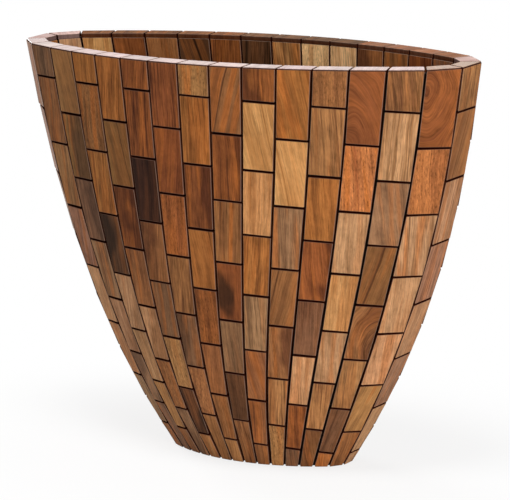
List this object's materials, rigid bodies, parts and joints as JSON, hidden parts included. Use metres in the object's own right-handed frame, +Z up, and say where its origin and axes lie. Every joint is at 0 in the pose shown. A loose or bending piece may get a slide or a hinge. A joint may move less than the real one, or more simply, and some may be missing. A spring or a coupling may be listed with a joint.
{
  "type": "oval planter",
  "caption": "Tall oval floor planter that tapers to a small base, faced with staggered wood blocks over a black tub.",
  "frame": {"origin": "centre of the base, on the floor", "axes": "+X along the long way of the oval, +Y across it, +Z up"},
  "size_m": [0.7086, 0.2512, 0.564],
  "materials": {
    "blocks": "satin lacquer",
    "rim": "satin lacquer",
    "lining": "satin lacquer",
    "tub": "matt"
  },
  "bodies": {
    "root": {"block_column_01": "blocks", "block_column_02": "blocks", "block_column_03": "blocks", "block_column_04": "blocks", "block_column_05": "blocks", "block_column_06": "blocks", "block_column_07": "blocks", "block_column_08": "blocks", "block_column_09": "blocks", "block_column_10": "blocks", "block_column_11": "blocks", "block_column_12": "blocks", "block_column_13": "blocks", "block_column_14": "blocks", "block_column_15": "blocks", "block_column_16": "blocks", "block_column_17": "blocks", "block_column_18": "blocks", "block_column_19": "blocks", "block_column_20": "blocks", "block_column_21": "blocks", "block_column_22": "blocks", "block_column_23": "blocks", "block_column_24": "blocks", "block_column_25": "blocks", "block_column_26": "blocks", "block_column_27": "blocks", "block_column_28": "blocks", "block_column_29": "blocks", "block_column_30": "blocks", "block_column_31": "blocks", "block_column_32": "blocks", "rim_cap_1": "rim", "lining_1": "lining", "rim_cap_2": "rim", "lining_2": "lining", "rim_cap_3": "rim", "lining_3": "lining", "rim_cap_4": "rim", "lining_4": "lining", "rim_cap_5": "rim", "lining_5": "lining", "rim_cap_6": "rim", "lining_6": "lining", "rim_cap_7": "rim", "lining_7": "lining", "rim_cap_8": "rim", "lining_8": "lining", "tub": "tub"}
  },
  "joints": []
}
